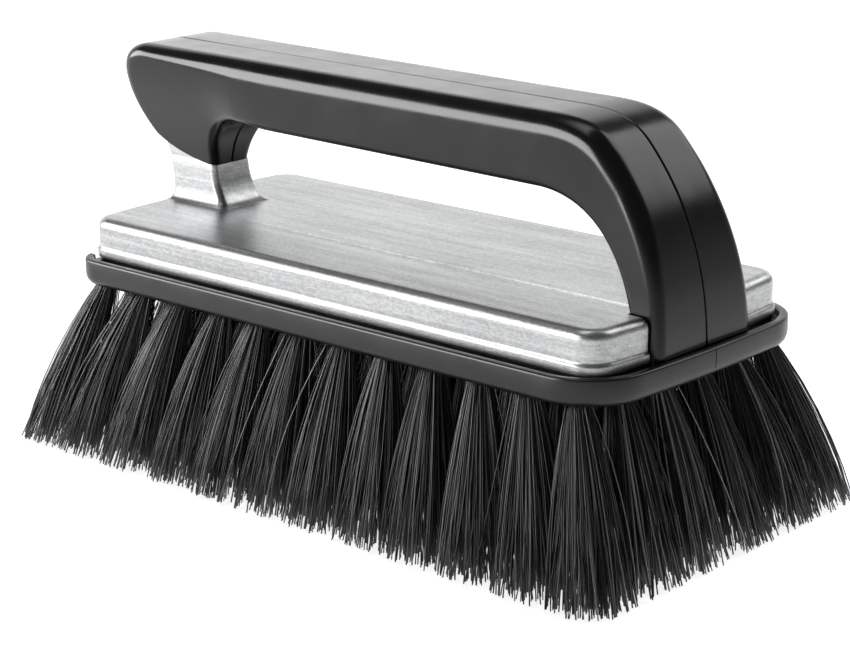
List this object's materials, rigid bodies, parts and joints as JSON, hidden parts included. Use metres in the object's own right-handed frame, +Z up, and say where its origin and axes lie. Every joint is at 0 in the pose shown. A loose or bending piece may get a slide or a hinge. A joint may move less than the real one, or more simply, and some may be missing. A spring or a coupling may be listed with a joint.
{
  "type": "wheel brush",
  "caption": "Hand scrub brush for cleaning wheels: a closed two-half grip over a cast metal back plate, with a moulded block of stiff splayed tufts.",
  "frame": {"origin": "centre of the brush's box, on the plane of the cut bristle tips", "axes": "+X along the brush towards the front end, where the handle's front leg passes down through the plate; +Y to the far side; +Z up"},
  "size_m": [0.1836, 0.1006, 0.0938],
  "materials": {
    "cast_aluminium": "satin, fine lengthwise brushing over a casting",
    "handle_plastic": "satin black moulded plastic",
    "block_plastic": "satin black moulded plastic",
    "bristle_nylon": "stiff black filament, slight gloss",
    "screw_steel": "zinc plated"
  },
  "bodies": {
    "root": {"back_casting": "cast_aluminium", "handle_half_near": "handle_plastic", "handle_half_far": "handle_plastic", "brush_block": "block_plastic", "handle_screws": "screw_steel", "neck_screw": "screw_steel", "block_screws": "screw_steel", "foot_screws": "screw_steel", "tuft_anchors": "screw_steel", "tufts_column_01": "bristle_nylon", "tufts_column_02": "bristle_nylon", "tufts_column_03": "bristle_nylon", "tufts_column_04": "bristle_nylon", "tufts_column_05": "bristle_nylon", "tufts_column_06": "bristle_nylon", "tufts_column_07": "bristle_nylon", "tufts_column_08": "bristle_nylon", "tufts_column_09": "bristle_nylon", "tufts_column_10": "bristle_nylon", "tufts_column_11": "bristle_nylon", "tufts_column_12": "bristle_nylon"}
  },
  "joints": []
}
